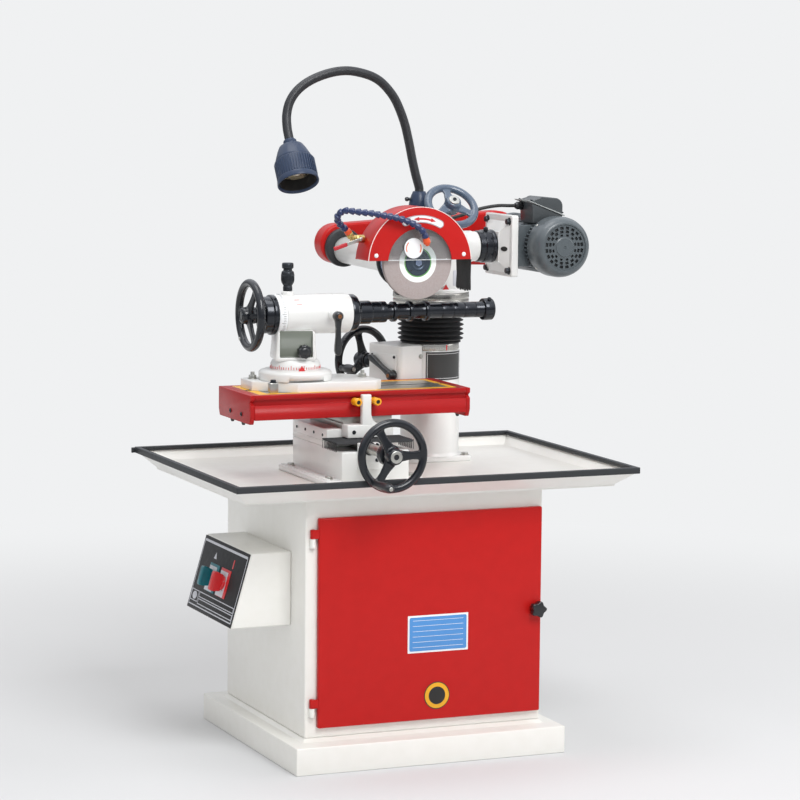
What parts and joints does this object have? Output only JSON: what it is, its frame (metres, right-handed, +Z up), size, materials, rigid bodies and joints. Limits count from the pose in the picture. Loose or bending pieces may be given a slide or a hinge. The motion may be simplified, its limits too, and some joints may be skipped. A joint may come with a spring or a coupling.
{
  "type": "universal tool grinder",
  "caption": "Cabinet-mounted universal tool grinder with a T-slotted cross table, indexing workhead, column-mounted tilting wheelhead, belt-drive motor and gooseneck lamp.",
  "frame": {"origin": "centre of the plinth's underside, on the floor", "axes": "+X along the table to the operator's right, -Y to the front where the door and the cross-feed handwheel are, +Z up"},
  "size_m": [1.0068, 0.8903, 1.5343],
  "materials": {
    "white_paint": "light grey-white gloss paint",
    "red_paint": "red gloss paint",
    "black_plastic": "black moulded plastic, satin gloss",
    "black_rubber": "black rubber",
    "black_steel": "blackened steel",
    "bright_steel": "ground steel",
    "grey_paint": "dark grey-green paint",
    "yellow_plastic": "yellow plastic",
    "teal_plastic": "teal plastic",
    "signal_red": "red plastic",
    "brass": "bare brass",
    "blue_hose": "dark blue plastic",
    "abrasive": "pinkish grey abrasive",
    "clear_plastic": "clear sheet"
  },
  "bodies": {
    "stand": {"plinth": "white_paint", "cabinet_shell": "white_paint", "chip_tray": "white_paint", "tray_edge_seal": "black_rubber", "switch_box": "white_paint", "base_casting": "white_paint", "way_cover": "black_rubber", "column": "white_paint", "elevating_gearbox": "white_paint", "column_bellows": "black_rubber"},
    "door": {"cabinet_door": "red_paint"},
    "latch": {"latch_knob": "black_plastic"},
    "start_knob": {"start_switch": "teal_plastic"},
    "stop_knob": {"stop_switch": "signal_red"},
    "saddle": {"cross_saddle": "white_paint", "table_guide": "bright_steel", "stop_bracket": "white_paint", "stop_buffers": "yellow_plastic"},
    "cross_wheel": {"cross_handwheel": "black_plastic"},
    "cross_wheel_grip": {"cross_grip": "black_plastic"},
    "table": {"table_body": "red_paint", "table_top": "bright_steel", "end_cover_left": "red_paint", "end_cover_right": "red_paint", "workhead_base": "white_paint"},
    "workhead": {"workhead_body": "white_paint"},
    "workhead_lock": {"swivel_lock_knob": "black_plastic"},
    "bearing_lever": {"workhead_lever": "black_plastic"},
    "plunger": {"index_plunger": "black_plastic"},
    "work_spindle": {"arbor": "black_steel", "index_disc": "black_steel", "workhead_handwheel": "black_plastic"},
    "quill_body": {"quill": "bright_steel", "swivel_ring": "bright_steel"},
    "elevating_wheel": {"elevating_handwheel": "black_plastic"},
    "elevating_wheel_grip": {"elevating_grip": "black_plastic"},
    "column_clamp": {"column_lever": "black_plastic"},
    "yoke": {"head_yoke": "white_paint", "trunnion_collar": "black_steel", "lamp_socket": "black_plastic", "gooseneck": "black_rubber", "lamp_head": "black_plastic", "motor_cable": "black_rubber"},
    "head_wheel": {"head_handwheel": "black_plastic"},
    "wheelhead": {"spindle_housing": "white_paint", "wheel_guard": "red_paint", "guard_window": "clear_plastic", "splash_flap": "black_rubber", "belt_cover": "red_paint", "drive_belt": "black_rubber", "motor_bracket": "white_paint", "motor_body": "grey_paint", "fan_cover": "grey_paint", "terminal_box": "black_plastic", "coolant_valve": "brass", "coolant_hose": "blue_hose"},
    "wheel_spindle": {"spindle": "black_steel", "grinding_wheel": "abrasive"},
    "rotor": {"motor_rotor": "bright_steel"},
    "valve_handle": {"valve_lever": "signal_red"}
  },
  "joints": [
    {"name": "door_hinge", "type": "hinge", "parent": "stand", "child": "door", "pos_m": [-0.27, -0.2588, 0.325], "axis": [0, 0, 1], "range_deg": [-110, 0]},
    {"name": "latch_turn", "type": "hinge", "parent": "door", "child": "latch", "pos_m": [0.2645, -0.27, 0.327], "axis": [0, -1, 0], "range_deg": [0, 90]},
    {"name": "start_turn", "type": "hinge", "parent": "stand", "child": "start_knob", "pos_m": [-0.403, 0.017, 0.389], "axis": [-0.9606, 0, 0.2778], "range_deg": [0, 90]},
    {"name": "stop_turn", "type": "hinge", "parent": "stand", "child": "stop_knob", "pos_m": [-0.403, -0.057, 0.389], "axis": [-0.9606, 0, 0.2778], "range_deg": [0, 90]},
    {"name": "cross_slide", "type": "slide", "parent": "stand", "child": "saddle", "axis": [0, 1, 0], "range_m": [-0.065, 0], "deforming": ["way_cover"]},
    {"name": "cross_feed", "type": "hinge", "parent": "stand", "child": "cross_wheel", "pos_m": [-0.127, -0.36, 0.702], "axis": [0, -1, 0], "range_deg": [-4700, 10]},
    {"name": "cross_grip_spin", "type": "hinge", "parent": "cross_wheel", "child": "cross_wheel_grip", "pos_m": [-0.17133, -0.4, 0.64526], "axis": [0, -1, 0], "continuous": true},
    {"name": "table_slide", "type": "slide", "parent": "saddle", "child": "table", "axis": [1, 0, 0], "range_m": [-0.11, 0.11]},
    {"name": "workhead_swivel", "type": "hinge", "parent": "table", "child": "workhead", "pos_m": [-0.228, -0.035, 0.84], "axis": [0, 0, 1], "range_deg": [-60, 5]},
    {"name": "swivel_lock_turn", "type": "hinge", "parent": "workhead", "child": "workhead_lock", "pos_m": [-0.228, -0.09, 0.9053], "axis": [0, -1, 0], "range_deg": [0, 180]},
    {"name": "bearing_lever_turn", "type": "hinge", "parent": "workhead", "child": "bearing_lever", "pos_m": [-0.155, -0.075, 0.984], "axis": [0, -1, 0], "range_deg": [0, 60]},
    {"name": "plunger_pull", "type": "slide", "parent": "workhead", "child": "plunger", "axis": [0, 0, 1], "range_m": [0, 0.008], "stiffness_N_per_m": 600, "springref_m": -0.01},
    {"name": "work_spindle_turn", "type": "hinge", "parent": "workhead", "child": "work_spindle", "pos_m": [-0.228, -0.035, 0.984], "axis": [1, 0, 0], "continuous": true},
    {"name": "quill_slide", "type": "slide", "parent": "stand", "child": "quill_body", "axis": [0, 0, 1], "range_m": [0, 0.09], "deforming": ["column_bellows"]},
    {"name": "elevating_turn", "type": "hinge", "parent": "stand", "child": "elevating_wheel", "pos_m": [0.0649, 0.24884, 0.844], "axis": [0.2924, -0.9563, 0], "range_deg": [-10, 6500]},
    {"name": "elevating_grip_spin", "type": "hinge", "parent": "elevating_wheel", "child": "elevating_wheel_grip", "pos_m": [-0.00654, 0.24164, 0.82903], "axis": [0.2924, -0.9563, 0], "continuous": true},
    {"name": "column_clamp_turn", "type": "hinge", "parent": "stand", "child": "column_clamp", "pos_m": [0.06801, 0.09503, 0.824], "axis": [-0.9563, -0.2924, 0], "range_deg": [-45, 45]},
    {"name": "head_swivel", "type": "hinge", "parent": "quill_body", "child": "yoke", "pos_m": [0.18, 0.146, 1.013], "axis": [0, 0, 1], "range_deg": [-90, 90]},
    {"name": "head_tilt", "type": "hinge", "parent": "yoke", "child": "wheelhead", "pos_m": [0.22, 0.146, 1.116], "axis": [-1, 0, 0], "range_deg": [0, 15], "deforming": ["motor_cable"]},
    {"name": "tilt_feed", "type": "hinge", "parent": "yoke", "child": "head_wheel", "pos_m": [0.188, 0.06, 1.207], "axis": [0, -0.7193, 0.6947], "range_deg": [-10, 610]},
    {"name": "wheel_spin", "type": "hinge", "parent": "wheelhead", "child": "wheel_spindle", "pos_m": [0.052, 0.1, 1.097], "axis": [0, 1, 0], "continuous": true},
    {"name": "rotor_spin", "type": "hinge", "parent": "wheelhead", "child": "rotor", "pos_m": [0.456, 0.2, 1.119], "axis": [0, 1, 0], "continuous": true},
    {"name": "valve_turn", "type": "hinge", "parent": "wheelhead", "child": "valve_handle", "pos_m": [-0.07961, -0.052, 1.15], "axis": [0, 1, 0], "range_deg": [0, 90]}
  ],
  "couplings": [
    {"joint": "cross_feed", "follows": "cross_slide", "rad_per_m": 1256.6},
    {"joint": "elevating_turn", "follows": "quill_slide", "rad_per_m": 1256.6},
    {"joint": "tilt_feed", "follows": "head_tilt", "ratio": 40},
    {"joint": "rotor_spin", "follows": "wheel_spin", "ratio": 0.76471}
  ]
}
